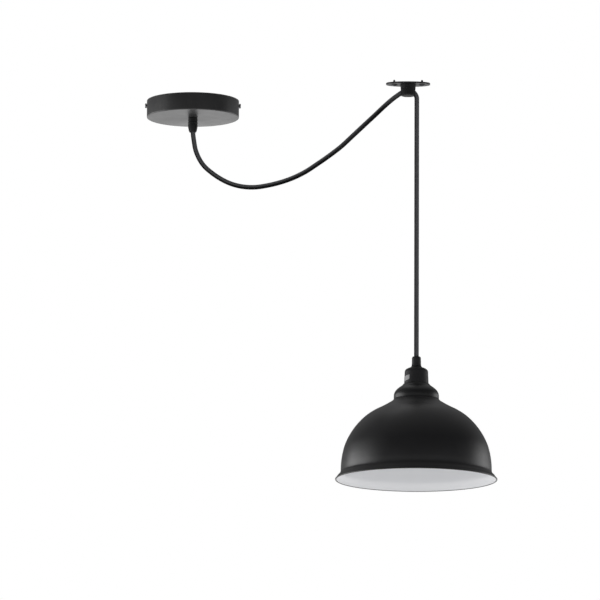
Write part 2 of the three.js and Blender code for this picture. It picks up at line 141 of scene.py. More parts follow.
def paint(name, color, rough, peel=650.0, peel_h=0.00002, fine=3200.0, fine_h=0.000004, spread=0.05, tone=0.12, ior=1.5, coat=0.0):
    """Sprayed or powder-coated metal: orange peel, fine grit, uneven gloss."""
    m, nt, b = new_material(name)
    co = obj_coord(nt)
    big = noise(nt, co, 14.0, 4.0, 0.55)
    mid = noise(nt, co, 90.0, 3.0, 0.5)
    b.inputs["IOR"].default_value = ior
    b.inputs["Coat Weight"].default_value = coat
    b.inputs["Coat Roughness"].default_value = 0.25
    nt.links.new(ramp(nt, big, [(0.3, vary(color, 1 - tone)), (0.7, vary(color, 1 + tone))]), b.inputs["Base Color"])
    mixr = nt.nodes.new("ShaderNodeMath")
    mixr.operation = "ADD"
    nt.links.new(remap(nt, big, rough - spread, rough + spread), mixr.inputs[0])
    nt.links.new(remap(nt, mid, -0.012, 0.012), mixr.inputs[1])
    nt.links.new(mixr.outputs[0], b.inputs["Roughness"])
    n1 = bump(nt, noise(nt, co, peel, 2.0, 0.45), peel_h)
    n2 = bump(nt, noise(nt, co, fine, 2.0, 0.6), fine_h, 1.0, n1)
    nt.links.new(n2, b.inputs["Normal"])
    return m


def plastic(name, color, rough, grain=2600.0, grain_h=0.000006, spread=0.05, tone=0.1, flow=True, sss=0.0, spec=0.5):
    """Moulded plastic: spark-eroded grain, faint flow marks, uneven gloss."""
    m, nt, b = new_material(name)
    b.inputs["Specular IOR Level"].default_value = spec
    co = obj_coord(nt)
    big = noise(nt, co, 60.0, 3.0, 0.5)
    b.inputs["IOR"].default_value = 1.49
    if sss:
        b.inputs["Subsurface Weight"].default_value = sss
        b.inputs["Subsurface Radius"].default_value = (0.004, 0.003, 0.002)
        b.inputs["Subsurface Scale"].default_value = 0.3
    nt.links.new(ramp(nt, big, [(0.3, vary(color, 1 - tone)), (0.7, vary(color, 1 + tone))]), b.inputs["Base Color"])
    nt.links.new(remap(nt, noise(nt, co, 240.0, 4.0, 0.6), rough - spread, rough + spread), b.inputs["Roughness"])
    n1 = bump(nt, noise(nt, co, grain, 2.0, 0.6), grain_h)
    if flow:
        n1 = bump(nt, noise(nt, co, 120.0, 2.0, 0.4, (1, 1, 0.25)), 0.00002, 0.7, n1)
    nt.links.new(n1, b.inputs["Normal"])
    return m


def metal(name, color, rough, brushed=None, spread=0.07, tone=0.08, spangle=False):
    m, nt, b = new_material(name)
    co = obj_coord(nt)
    b.inputs["Metallic"].default_value = 1.0
    if spangle:
        v = nt.nodes.new("ShaderNodeTexVoronoi")
        v.inputs["Scale"].default_value = 260.0
        nt.links.new(co, v.inputs["Vector"])
        sep = nt.nodes.new("ShaderNodeSeparateColor")
        nt.links.new(v.outputs["Color"], sep.inputs["Color"])
        src = sep.outputs["Red"]
        nt.links.new(ramp(nt, src, [(0.0, vary(color, 1 - tone)), (1.0, vary(color, 1 + tone))]), b.inputs["Base Color"])
        nt.links.new(remap(nt, src, rough - spread, rough + spread, 0, 1), b.inputs["Roughness"])
        n1 = bump(nt, noise(nt, co, 900.0, 3.0, 0.6), 0.000006)
    else:
        src = noise(nt, co, 80.0, 4.0, 0.6)
        nt.links.new(ramp(nt, src, [(0.3, vary(color, 1 - tone)), (0.7, vary(color, 1 + tone))]), b.inputs["Base Color"])
        nt.links.new(remap(nt, noise(nt, co, 300.0, 4.0, 0.65), rough - spread, rough + spread), b.inputs["Roughness"])
        n1 = bump(nt, noise(nt, co, 1400.0, 2.0, 0.6), 0.000004)
    if brushed:
        n1 = bump(nt, noise(nt, co, 500.0, 3.0, 0.6, brushed), 0.000008, 0.8, n1)
    nt.links.new(n1, b.inputs["Normal"])
    return m


def textile(name):
    """Braided polyester sleeve. The braid is in the mesh; its yarn and fuzz are here, with painted shade
    that darkens the valleys between the strands. UV: u = turns round the cord, v = metres."""
    m, nt, b = new_material(name)
    uv = nt.nodes.new("ShaderNodeUVMap")
    uv.uv_map = "UVMap"
    co = obj_coord(nt)
    crown = nt.nodes.new("ShaderNodeAttribute")
    crown.attribute_name = "crown"
    side = nt.nodes.new("ShaderNodeAttribute")
    side.attribute_name = "side"
    b.inputs["IOR"].default_value = 1.45
    b.inputs["Sheen Weight"].default_value = 0.5
    b.inputs["Sheen Roughness"].default_value = 0.4
    b.inputs["Sheen Tint"].default_value = (0.75, 0.76, 0.8, 1)
    b.inputs["Specular IOR Level"].default_value = 0.35
    # painted shade: the colour runs from near black in the braid valleys to grey on the crowns, standing in for shade
    # between the strands
    base = ramp(nt, crown.outputs["Fac"], [(0.0, (0.006, 0.006, 0.0065)), (0.5, (0.04, 0.04, 0.042)), (1.0, (0.095, 0.095, 0.1))])
    yarn = noise(nt, co, 2400.0, 3.0, 0.7)
    mix = nt.nodes.new("ShaderNodeMix")
    mix.data_type = "RGBA"
    mix.blend_type = "MULTIPLY"
    mix.inputs["Factor"].default_value = 1.0
    nt.links.new(base, mix.inputs["A"])
    nt.links.new(ramp(nt, yarn, [(0.25, (0.6, 0.6, 0.6)), (0.75, (1.0, 1.0, 1.0))]), mix.inputs["B"])
    # painted light: the side facing up and to the right, along (0.5, 0, 0.866), is painted lighter and the underside
    # darker
    geo = nt.nodes.new("ShaderNodeNewGeometry")
    facing = nt.nodes.new("ShaderNodeVectorMath")
    facing.operation = "DOT_PRODUCT"
    nt.links.new(geo.outputs["Normal"], facing.inputs[0])
    facing.inputs[1].default_value = (0.5, 0.0, 0.866)
    light_side_tone = nt.nodes.new("ShaderNodeMapRange")
    light_side_tone.interpolation_type = "SMOOTHSTEP"
    light_side_tone.inputs["From Min"].default_value = -0.55
    light_side_tone.inputs["From Max"].default_value = 0.1
    light_side_tone.inputs["To Min"].default_value = 0.1
    light_side_tone.inputs["To Max"].default_value = 1.7
    nt.links.new(facing.outputs["Value"], light_side_tone.inputs["Value"])
    light_side_colour = nt.nodes.new("ShaderNodeVectorMath")
    light_side_colour.operation = "SCALE"
    nt.links.new(mix.outputs["Result"], light_side_colour.inputs[0])
    nt.links.new(light_side_tone.outputs["Result"], light_side_colour.inputs["Scale"])
    nt.links.new(light_side_colour.outputs["Vector"], b.inputs["Base Color"])
    # painted sheen and highlight: sheen weight and specular level rise on the lit side and fall on the underside
    nt.links.new(remap(nt, light_side_tone.outputs["Result"], 0.0, 0.45, 0.1, 1.7), b.inputs["Sheen Weight"])
    nt.links.new(remap(nt, light_side_tone.outputs["Result"], 0.03, 0.35, 0.1, 1.7), b.inputs["Specular IOR Level"])
    nt.links.new(remap(nt, yarn, 0.62, 0.86), b.inputs["Roughness"])
    # the yarns inside each strand run along the strand, so their grooves
    # follow u +- k v, chosen by which way the strand on top leans
    sep = nt.nodes.new("ShaderNodeSeparateXYZ")
    nt.links.new(uv.outputs["UV"], sep.inputs["Vector"])
    waves = []
    for sign in (1, -1):
        a = nt.nodes.new("ShaderNodeMath"); a.operation = "MULTIPLY"; a.inputs[1].default_value = 2 * math.pi * 10 * 4
        nt.links.new(sep.outputs["X"], a.inputs[0])
        c = nt.nodes.new("ShaderNodeMath"); c.operation = "MULTIPLY"; c.inputs[1].default_value = sign * 2 * math.pi * 4 / 0.0022
        nt.links.new(sep.outputs["Y"], c.inputs[0])
        s = nt.nodes.new("ShaderNodeMath"); s.operation = "ADD"
        nt.links.new(a.outputs[0], s.inputs[0]); nt.links.new(c.outputs[0], s.inputs[1])
        w = nt.nodes.new("ShaderNodeMath"); w.operation = "SINE"
        nt.links.new(s.outputs[0], w.inputs[0])
        waves.append(w.outputs[0])
    pick = nt.nodes.new("ShaderNodeMix")
    pick.data_type = "FLOAT"
    nt.links.new(side.outputs["Fac"], pick.inputs["Factor"])
    nt.links.new(waves[0], pick.inputs["A"])
    nt.links.new(waves[1], pick.inputs["B"])
    n1 = bump(nt, pick.outputs["Result"], 0.00006, 0.6)
    n2 = bump(nt, yarn, 0.00005, 0.5, n1)
    nt.links.new(n2, b.inputs["Normal"])
    return m


M_SHADE = paint("shade_black_satin", (0.0125, 0.0125, 0.0135), 0.40, peel=520.0, peel_h=0.000016, spread=0.04)
M_SHADE_IN = paint("shade_white_satin", (0.80, 0.805, 0.82), 0.42, peel=520.0, peel_h=0.000014, tone=0.012)
M_CANOPY = paint("canopy_black_powder", (0.021, 0.021, 0.0215), 0.36, peel=900.0, peel_h=0.000022, fine=4200.0, fine_h=0.000006)
M_SCREW = metal("screw_black_zinc", (0.10, 0.10, 0.105), 0.40)
M_PLASTIC = plastic("moulded_black", (0.0125, 0.0125, 0.0132), 0.5, spec=0.4)
M_HOLDER = plastic("holder_black", (0.0135, 0.0135, 0.0148), 0.56, grain=3400.0, grain_h=0.000004, spec=0.32)
M_CORD = textile("braided_textile")
M_GRIP = plastic("grip_black", (0.009, 0.009, 0.0095), 0.64, spec=0.2)
M_LABEL = plastic("label_grey_film", (0.31, 0.31, 0.315), 0.42, grain=1800.0, flow=False, tone=0.06)
M_ZINC = metal("zinc_plate", (0.62, 0.64, 0.66), 0.34, spangle=True)
M_NICKEL = metal("nickel_plate", (0.66, 0.64, 0.60), 0.26, tone=0.05)
M_BRASS = metal("brass", (0.80, 0.58, 0.27), 0.3)
M_WHITE = plastic("white_nylon", (0.78, 0.77, 0.73), 0.42, sss=0.15)
M_PORCELAIN = plastic("porcelain", (0.84, 0.83, 0.79), 0.2, grain=1200.0, grain_h=0.000003, flow=False)
M_BROWN = plastic("core_brown", (0.16, 0.06, 0.028), 0.38)
M_BLUE = plastic("core_blue", (0.03, 0.10, 0.38), 0.38)
M_VITRITE = plastic("vitrite", (0.01, 0.01, 0.012), 0.12, flow=False)


def green_yellow():
    m, nt, b = new_material("core_green_yellow")
    uv = nt.nodes.new("ShaderNodeUVMap")
    uv.uv_map = "UVMap"
    sep = nt.nodes.new("ShaderNodeSeparateXYZ")
    nt.links.new(uv.outputs["UV"], sep.inputs["Vector"])
    nt.links.new(ramp(nt, sep.outputs["X"], [(0.0, (0.06, 0.26, 0.05)), (0.48, (0.06, 0.26, 0.05)), (0.52, (0.72, 0.6, 0.06)), (0.98, (0.72, 0.6, 0.06))]), b.inputs["Base Color"])
    co = obj_coord(nt)
    nt.links.new(remap(nt, noise(nt, co, 400.0), 0.32, 0.44), b.inputs["Roughness"])
    nt.links.new(bump(nt, noise(nt, co, 1800.0), 0.000008), b.inputs["Normal"])
    return m


M_GREEN = green_yellow()


def frosted():
    """Frosted white bulb glass: the coating inside scatters, the outer glass
    keeps a soft gloss."""
    m, nt, b = new_material("bulb_frosted_glass")
    co = obj_coord(nt)
    fac = noise(nt, co, 55.0, 4.0, 0.55)
    nt.links.new(ramp(nt, fac, [(0.3, (0.80, 0.80, 0.78)), (0.7, (0.88, 0.88, 0.86))]), b.inputs["Base Color"])
    b.inputs["Subsurface Weight"].default_value = 0.4
    b.inputs["Subsurface Radius"].default_value = (0.01, 0.01, 0.01)
    b.inputs["Subsurface Scale"].default_value = 0.5
    b.inputs["Coat Weight"].default_value = 0.6
    b.inputs["Coat Roughness"].default_value = 0.12
    nt.links.new(remap(nt, noise(nt, co, 420.0, 4.0, 0.6), 0.30, 0.42), b.inputs["Roughness"])
    nt.links.new(bump(nt, noise(nt, co, 2200.0, 2.0, 0.6), 0.000004), b.inputs["Normal"])
    return m


M_GLASS = frosted()

# --------------------------------------------------------------- mesh tools


def soften(profile, r, closed, steps=4):
    """Rounds each corner of a [radius, height] line by up to r."""
    pts = [Vector(p) for p in profile]
    n = len(pts)
    out = []
    for i, p in enumerate(pts):
        if not closed and i in (0, n - 1):
            out.append(p)
            continue
        a, b = pts[(i - 1) % n], pts[(i + 1) % n]
        u, v = a - p, b - p
        if u.length < 1e-6 or v.length < 1e-6:
            continue
        ang = u.angle(v)
        if ang > math.radians(168):
            out.append(p)
            continue
        t = min(r / math.tan(ang / 2) if ang < math.pi else r, 0.42 * u.length, 0.42 * v.length)
        s, e = p + u.normalized() * t, p + v.normalized() * t
        for k in range(steps + 1):
            q = k / steps
            out.append(s * (1 - q) ** 2 + p * 2 * q * (1 - q) + e * q * q)
    return [(max(0.0, q.x), q.y) for q in out]


def finish_mesh(o, angle=40.0):
    me = o.data
    for p in me.polygons:
        p.use_smooth = True
    me.set_sharp_from_angle(angle=math.radians(angle))
    return o


def link(name, me, mats):
    o = bpy.data.objects.new(name, me)
    scene.collection.objects.link(o)
    for m in mats if isinstance(mats, (list, tuple)) else [mats]:
        o.data.materials.append(m)
    return o


def revolve(name, profile, segs, mats, origin=(0, 0, 0), closed=None, warp=None, tags=None, angle=40.0):
    """Turns a profile in mm round the Z axis. warp(theta, r, z) gives the
    radius back changed; tags gives each profile edge's material index."""
    on_axis = profile[0][0] < 1e-6 and profile[-1][0] < 1e-6
    n = len(profile)
    verts, rings = [], []
    for r, z in profile:
        if r < 1e-6:
            rings.append([len(verts)])
            verts.append((0.0, 0.0, z))
            continue
        row = []
        for k in range(segs):
            th = 2 * math.pi * k / segs
            rr = warp(th, r, z) if warp else r
            row.append(len(verts))
            verts.append((rr * math.cos(th), rr * math.sin(th), z))
        rings.append(row)
    faces, idx = [], []
    pairs = [(i, i + 1) for i in range(n - 1)]
    if not on_axis:
        pairs.append((n - 1, 0))
    lens = [0.0]
    for i, j in pairs:
        lens.append(lens[-1] + math.dist(profile[i], profile[j]))
    uvs = []
    for e, (i, j) in enumerate(pairs):
        A, B = rings[i], rings[j]
        mi = tags[i] if tags else 0
        if len(A) == 1 and len(B) == 1:
            continue
        for k in range(segs):
            k2 = (k + 1) % segs
            u0, u1 = k / segs, (k + 1) / segs
            v0, v1 = lens[e] * MM, lens[e + 1] * MM
            if len(A) == 1:
                faces.append((A[0], B[k2], B[k])); uvs.append([(u0, v0), (u1, v1), (u0, v1)])
            elif len(B) == 1:
                faces.append((A[k], A[k2], B[0])); uvs.append([(u0, v0), (u1, v0), (u0, v1)])
            else:
                faces.append((A[k], A[k2], B[k2], B[k])); uvs.append([(u0, v0), (u1, v0), (u1, v1), (u0, v1)])
            idx.append(mi)
    me = bpy.data.meshes.new(name)
    me.from_pydata([Vector(v) * MM + Vector(origin) * MM for v in verts], [], faces)
    layer = me.uv_layers.new(name="UVMap")
    flat = [c for f in uvs for p in f for c in p]
    layer.data.foreach_set("uv", flat)
    me.polygons.foreach_set("material_index", idx)
    me.update()
    o = link(name, me, mats)
    outward(o)
    return finish_mesh(o, angle)


def outward(o):
    bm = bmesh.new()
    bm.from_mesh(o.data)
    bmesh.ops.recalc_face_normals(bm, faces=bm.faces)
    if bm.calc_volume(signed=True) < 0:
        bmesh.ops.reverse_faces(bm, faces=bm.faces)
    bm.to_mesh(o.data)
    bm.free()


def outline_solid(name, points, z0, z1, mats, bevel=0.4, segs=3, origin=(0, 0, 0), angle=35.0):
    """Prism of a closed outline in mm, its edges rounded."""
    bm = bmesh.new()
    lo = [bm.verts.new((x * MM, y * MM, z0 * MM)) for x, y in points]
    hi = [bm.verts.new((x * MM, y * MM, z1 * MM)) for x, y in points]
    bm.faces.new(lo[::-1])
    bm.faces.new(hi)
    n = len(points)
    for i in range(n):
        bm.faces.new((lo[i], lo[(i + 1) % n], hi[(i + 1) % n], hi[i]))
    if bevel:
        edges = [e for e in bm.edges if (e.verts[0].co.z == e.verts[1].co.z)]
        bmesh.ops.bevel(bm, geom=edges, offset=bevel * MM, segments=segs, profile=0.6, affect="EDGES", clamp_overlap=True)
    bmesh.ops.translate(bm, verts=bm.verts, vec=Vector(origin) * MM)
    me = bpy.data.meshes.new(name)
    bm.to_mesh(me)
    bm.free()
    o = link(name, me, mats)
    outward(o)
    return finish_mesh(o, angle)


def block(name, lo, hi, mats, bevel=0.5, segs=3, origin=(0, 0, 0)):
    bm = bmesh.new()
    bmesh.ops.create_cube(bm, size=1.0)
    for v in bm.verts:
        for k in range(3):
            v.co[k] = (lo[k] if v.co[k] < 0 else hi[k]) * MM
    if bevel:
        bmesh.ops.bevel(bm, geom=list(bm.edges), offset=bevel * MM, segments=segs, profile=0.6, affect="EDGES")
    bmesh.ops.translate(bm, verts=bm.verts, vec=Vector(origin) * MM)
    me = bpy.data.meshes.new(name)
    bm.to_mesh(me)
    bm.free()
    return finish_mesh(link(name, me, mats), 35)


def boolean(o, cutters, mode="DIFFERENCE", angle=35.0, bevel=0.0):
    """Applies booleans and drops the cutters."""
    for c in cutters:
        md = o.modifiers.new("cut", "BOOLEAN")
        md.operation = mode
        md.solver = "EXACT"
        md.object = c
    if bevel:
        bv = o.modifiers.new("edge", "BEVEL")
        bv.width = bevel * MM
        bv.segments = 2
        bv.limit_method = "ANGLE"
        bv.angle_limit = math.radians(38)
        bv.harden_normals = False
    bpy.context.view_layer.update()
    dg = bpy.context.evaluated_depsgraph_get()
    me = bpy.data.meshes.new_from_object(o.evaluated_get(dg))
    old = o.data
    o.modifiers.clear()
    o.data = me
    me.name = old.name
    for c in cutters:
        bpy.data.objects.remove(c)
    bm = bmesh.new()
    bm.from_mesh(o.data)
    bmesh.ops.remove_doubles(bm, verts=bm.verts, dist=1e-7)
    bmesh.ops.dissolve_degenerate(bm, dist=1e-7, edges=bm.edges)
    loose = [v for v in bm.verts if not v.link_faces]
    bmesh.ops.delete(bm, geom=loose, context="VERTS")
    bm.to_mesh(o.data)
    bm.free()
    return finish_mesh(o, angle)


def turn(o, matrix):
    o.data.transform(matrix)
    o.data.update()
    return o


def catmull(points, step):
    """Centripetal Catmull-Rom through the points, evenly spaced."""
    P = [np.array(p, float) for p in points]
    P = [2 * P[0] - P[1]] + P + [2 * P[-1] - P[-2]]
    out = []
    for i in range(1, len(P) - 2):
        p0, p1, p2, p3 = P[i - 1:i + 3]
        t0 = 0.0
        t1 = t0 + np.linalg.norm(p1 - p0) ** 0.5
        t2 = t1 + np.linalg.norm(p2 - p1) ** 0.5
        t3 = t2 + np.linalg.norm(p3 - p2) ** 0.5
        for t in np.linspace(t1, t2, 24, endpoint=False):
            a1 = (t1 - t) / (t1 - t0) * p0 + (t - t0) / (t1 - t0) * p1
            a2 = (t2 - t) / (t2 - t1) * p1 + (t - t1) / (t2 - t1) * p2
            a3 = (t3 - t) / (t3 - t2) * p2 + (t - t2) / (t3 - t2) * p3
            b1 = (t2 - t) / (t2 - t0) * a1 + (t - t0) / (t2 - t0) * a2
            b2 = (t3 - t) / (t3 - t1) * a2 + (t - t1) / (t3 - t1) * a3
            out.append((t2 - t) / (t2 - t1) * b1 + (t - t1) / (t2 - t1) * b2)
    out.append(P[-2])
    out = np.array(out)
    d = np.concatenate([[0], np.cumsum(np.linalg.norm(np.diff(out, axis=0), axis=1))])
    n = max(2, int(round(d[-1] / step)) + 1)
    s = np.linspace(0, d[-1], n)
    return np.stack([np.interp(s, d, out[:, k]) for k in range(3)], 1), d[-1]


def frames(line):
    """Tangents and a side vector that doesn't twist, along a line."""
    t = np.gradient(line, axis=0)
    t /= np.linalg.norm(t, axis=1)[:, None]
    a = np.cross(t[0], [0, 1, 0])
    if np.linalg.norm(a) < 1e-3:
        a = np.cross(t[0], [1, 0, 0])
    a /= np.linalg.norm(a)
    side = [a]
    for i in range(1, len(line)):
        v = side[-1] - t[i] * np.dot(side[-1], t[i])
        side.append(v / np.linalg.norm(v))
    side = np.array(side)
    return t, side, np.cross(t, side)


def sweep(name, line, radius, around, mats, height=None, round_ends=0.0):
    """Tube along a line in mm. height(u, s) returns (extra radius, crown,
    side) arrays; round_ends draws the two ends in over that length."""
    t, a, b = frames(line)
    n = len(line)
    s = np.concatenate([[0], np.cumsum(np.linalg.norm(np.diff(line, axis=0), axis=1))])
    u = np.arange(around) / around
    U, S = np.meshgrid(u, s)
    R = np.full(U.shape, float(radius))
    crown = side = None
    if height:
        h, crown, side = height(U, S)
        R = R + h
    if round_ends:
        e = np.minimum(s, s[-1] - s)
        k = np.clip(e / round_ends, 0, 1)
        R = R * (0.72 + 0.28 * np.sqrt(1 - (1 - k) ** 2))[:, None]
    th = 2 * math.pi * U
    P = line[:, None, :] + R[..., None] * (np.cos(th)[..., None] * a[:, None, :] + np.sin(th)[..., None] * b[:, None, :])
    verts = (P.reshape(-1, 3) * MM).tolist()
    i = np.arange(n - 1)[:, None] * around
    k = np.arange(around)[None, :]
    k2 = (k + 1) % around
    quads = np.stack([i + k, i + k2, i + around + k2, i + around + k], -1).reshape(-1, 4)
    faces = quads.tolist()
    c0, c1 = len(verts), len(verts) + 1
    verts += [(line[0] * MM).tolist(), (line[-1] * MM).tolist()]
    tris = [(c0, (q + 1) % around, q) for q in range(around)] + [(c1, (n - 1) * around + q, (n - 1) * around + (q + 1) % around) for q in range(around)]
    faces += tris
    me = bpy.data.meshes.new(name)
    me.from_pydata(verts, [], faces)
    layer = me.uv_layers.new(name="UVMap")
    uvq = np.zeros((n - 1, around, 4, 2))
    uvq[..., 0, 0] = uvq[..., 3, 0] = u[None, :]
    uvq[..., 1, 0] = uvq[..., 2, 0] = u[None, :] + 1 / around
    uvq[..., 0, 1] = uvq[..., 1, 1] = s[:-1, None] * MM
    uvq[..., 2, 1] = uvq[..., 3, 1] = s[1:, None] * MM
    flat = np.concatenate([uvq.reshape(-1), np.zeros(len(tris) * 6)])
    layer.data.foreach_set("uv", flat)
    if crown is not None:
        for nm, arr in (("crown", crown), ("side", side)):
            at = me.attributes.new(nm, "FLOAT", "POINT")
            at.data.foreach_set("value", np.concatenate([arr.reshape(-1), [0.0, 0.0]]).astype(np.float32))
    me.update()
    o = link(name, me, mats)
    outward(o)
    return finish_mesh(o, 60)


def braid(strands=10, pitch=2.2, depth=0.17, phase=0.0):
    """Over-two-under-two tubular braid."""
    def f(U, S):
        a = U * strands + (S + phase) / pitch
        b = U * strands - (S + phase) / pitch
        fa, fb = a - np.floor(a), b - np.floor(b)
        ka, kb = np.floor(a).astype(int), np.floor(b).astype(int)
        over = ((ka + kb) % 2).astype(float)
        wa = np.sqrt(np.clip(1 - (2 * fa - 1) ** 2, 0, 1))
        wb = np.sqrt(np.clip(1 - (2 * fb - 1) ** 2, 0, 1))
        la = 0.5 + 0.5 * np.sin(math.pi * fb) * np.where(over > 0.5, 1, -1)
        lb = 0.5 + 0.5 * np.sin(math.pi * fa) * np.where(over > 0.5, -1, 1)
        ha, hb = wa * (0.35 + 0.65 * la), wb * (0.35 + 0.65 * lb)
        h = np.maximum(ha, hb)
        return depth * (h - 0.55), h, (hb > ha).astype(float)
    return f


def done(o, body, *nodes, slot=None):
    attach(o, body)
    if nodes:
        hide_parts(*nodes)
    return o


# --------------------------------------------------------------------- cord
SWAG = [
    (0, -14.5), (0, -29.6), (0, -43.6), (0.5, -52.6), (2.0, -63.2), (5.4, -79.5),
    (12.3, -94.6), (20.8, -106.2), (32.5, -116.6), (47.5, -127.2), (65.5, -136.7),
    (86.0, -143.2), (108.0, -145.9), (130.0, -144.7), (152.0, -141.4),
    (173.5, -136.0), (195.0, -127.8), (215.5, -116.9), (235.6, -105.4),
    (255.5, -92.7), (275.8, -76.8), (294.2, -62.2), (312.7, -48.0),
    (331.0, -33.9), (345.0, -23.6),
]
TURN = [(-8.9, -14.0), (-5.2, -11.5), (-1.2, -10.3), (2.8, -10.7), (6.6, -12.6), (9.9, -15.6), (12.2, -19.0), (13.3, -22.0), (13.6, -24.2)]
ENTRY_X = HOOK_X - 12.4
LINE_LEN = math.hypot(ENTRY_X, HOOK_Y)


def swag_point(u, z):
    t = max(0.0, (u - 300) / (LINE_LEN - 300))
    ease = t * t * (3 - 2 * t)
    x, y = u / LINE_LEN * ENTRY_X, u / LINE_LEN * HOOK_Y
    return (x, y + (HOOK_Y - y) * ease * 0.8, z)


route = [swag_point(u, z) for u, z in SWAG] + [(HOOK_X + d, HOOK_Y, z) for d, z in TURN]
route += [(DROP_X, DROP_Y, z) for z in (SWING_SIDE_Z + 0.9, -28, -31, SPLIT_Z)]
first, first_len = catmull(route, 0.42)
second, second_len = catmull([(DROP_X, DROP_Y, SPLIT_Z + 0.05), (DROP_X, DROP_Y, -45), (DROP_X, DROP_Y, -200), (DROP_X, DROP_Y, -400), (DROP_X, DROP_Y, RIM_Z + 166)], 0.42)

cord_a = sweep("swag_cord_braid", first, CORD_R + 0.16, 44, M_CORD, height=braid())
cord_b = sweep("drop_cord_braid", second, CORD_R + 0.16, 44, M_CORD, height=braid(phase=first_len))
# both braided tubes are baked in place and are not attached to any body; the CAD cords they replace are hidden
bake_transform(cord_a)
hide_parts("swag_cord", "bend_cord")
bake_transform(cord_b)
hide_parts("drop_cord")

# ------------------------------------------------------------------- canopy
R, H, W = CANOPY_R, CANOPY_H, CANOPY_WALL
prof = soften([(R - W - 0.1, 0), (R, 0), (R, -H), (5.6, -H), (5.6, -H + W), (R - W - 0.1, -H + W)], 2.3, True, 6)
# only the pressed bottom edge has the big radius; the cut rim stays crisp
prof = soften([(R - W, 0.0), (R - 0.02, 0.0), (R, -0.5), (R, -H + 1.5)], 0.25, False, 3)
prof += [(R - 1.5 + 1.5 * math.cos(a), -H + 1.5 - 1.5 * math.sin(a)) for a in np.linspace(0.12, math.pi / 2, 9)]
prof += soften([(40.0, -H), (12.0, -H - 0.0), (6.2, -H), (5.6, -H + 0.4), (5.6, -H + W), (6.2, -H + W), (12.0, -H + W)], 0.2, False, 2)
prof += [(R - 1.5 + 0.5 * math.cos(a), -H + 1.5 - 0.5 * math.sin(a)) for a in np.linspace(math.pi / 2, 0.12, 7)]
prof += [(R - W, -H + 1.9), (R - W, -0.5)]
canopy = revolve("canopy_shell_pressed", prof, 160, M_CANOPY, angle=30)
hole = revolve("hole", [(0, -90), (2.1, -90), (2.1, 90), (0, 90)], 24, M_CANOPY)
turn(hole, Matrix.Translation((0, 0, SIDE_SCREW_Z * MM)) @ Matrix.Rotation(math.pi / 2, 4, "Y"))
canopy = boolean(canopy, [hole], angle=30)
done(canopy, "ceiling", "canopy_shell", slot="canopy_paint")

for name, sx in (("canopy_screw_left", -1), ("canopy_screw_right", 1)):
    x0 = R + 0.3
    p = soften([(0, 66), (1.1, 66), (1.7, 67), (1.7, x0), (3.6, x0), (3.7, x0 + 0.5), (3.7, x0 + 1.9), (3.1, x0 + 2.5), (0, x0 + 2.5)], 0.2, False, 2)
    p = [q for q in p]

    def knurl(th, r, z, x0=x0):
        if r > 3.3 and x0 + 0.35 < z < x0 + 2.2:
            return r - 0.14 + 0.14 * abs(math.sin(th * 13))
        if r > 1.6 and z < x0 - 2:
            return r + 0.12 * math.sin(2 * math.pi * z / 0.7 + th)
        return r
    # the shank needs rings close enough to carry its thread
    q = []
    for i in range(len(p) - 1):
        q.append(p[i])
        if abs(p[i][0] - 1.7) < 0.02 and abs(p[i + 1][0] - 1.7) < 0.02 and abs(p[i + 1][1] - p[i][1]) > 1:
            k = int(abs(p[i + 1][1] - p[i][1]) / 0.17)
            q += [(1.7, p[i][1] + (p[i + 1][1] - p[i][1]) * j / k) for j in range(1, k)]
    q.append(p[-1])
    s = revolve(name + "_knurled", q, 78, M_SCREW, warp=knurl, angle=50)
    slot_cut = block("slot", (-5, -0.45, x0 + 1.7), (5, 0.45, x0 + 4), M_SCREW, bevel=0)
    s = boolean(s, [slot_cut], angle=45)
    turn(s, Matrix.Translation((0, 0, SIDE_SCREW_Z * MM)) @ Matrix.Rotation(sx * math.pi / 2, 4, "Y"))
    done(s, "ceiling", name, slot="screw_black")

# bracket: one strip, its tabs bent over a small radius
bx, bt, bw, bd = 70.4, 1.5, 18.0, 14.0
outer, inner = [], []
for k in range(7):
    a = k / 6 * math.pi / 2
    outer.append((bx - 2.2 + 2.2 * math.sin(a), -2.2 + 2.2 * math.cos(a)))
    inner.append((bx - 2.2 + 0.7 * math.sin(a), -2.2 + 0.7 * math.cos(a)))
half_out = outer + [(bx, -bd)]
half_in = inner + [(bx - bt, -bd)]
loop = [(x, z) for x, z in half_out] + [(x, z) for x, z in reversed(half_in)] + [(-x, z) for x, z in half_in] + [(-x, z) for x, z in reversed(half_out)]
strip = outline_solid("mounting_bracket_bent", [(x, z) for x, z in loop], -bw / 2, bw / 2, M_ZINC, bevel=0.25, segs=2, angle=30)
turn(strip, Matrix.Rotation(math.pi / 2, 4, "X"))
cutters = []
for sx in (-1, 1):
    pts = []
    for i in range(13):
        a = -math.pi / 2 + i / 12 * math.pi
        pts.append((51 * sx + 5 + 2.5 * math.cos(a), 2.5 * math.sin(a)))
    for i in range(13):
        a = math.pi / 2 + i / 12 * math.pi
        pts.append((51 * sx - 5 + 2.5 * math.cos(a), 2.5 * math.sin(a)))
    cutters.append(outline_solid("slot", pts, -4, 3, M_ZINC, bevel=0))
h1 = revolve("hole", [(0, -90), (1.95, -90), (1.95, 90), (0, 90)], 24, M_ZINC)
turn(h1, Matrix.Translation((0, 0, SIDE_SCREW_Z * MM)) @ Matrix.Rotation(math.pi / 2, 4, "Y"))
h2 = revolve("hole", [(0, -5), (1.95, -5), (1.95, 5), (0, 5)], 24, M_ZINC, origin=(-26, 0, 0))
strip = boolean(strip, cutters + [h1, h2], angle=30)
done(strip, "ceiling", "mounting_bracket", slot="zinc_steel")


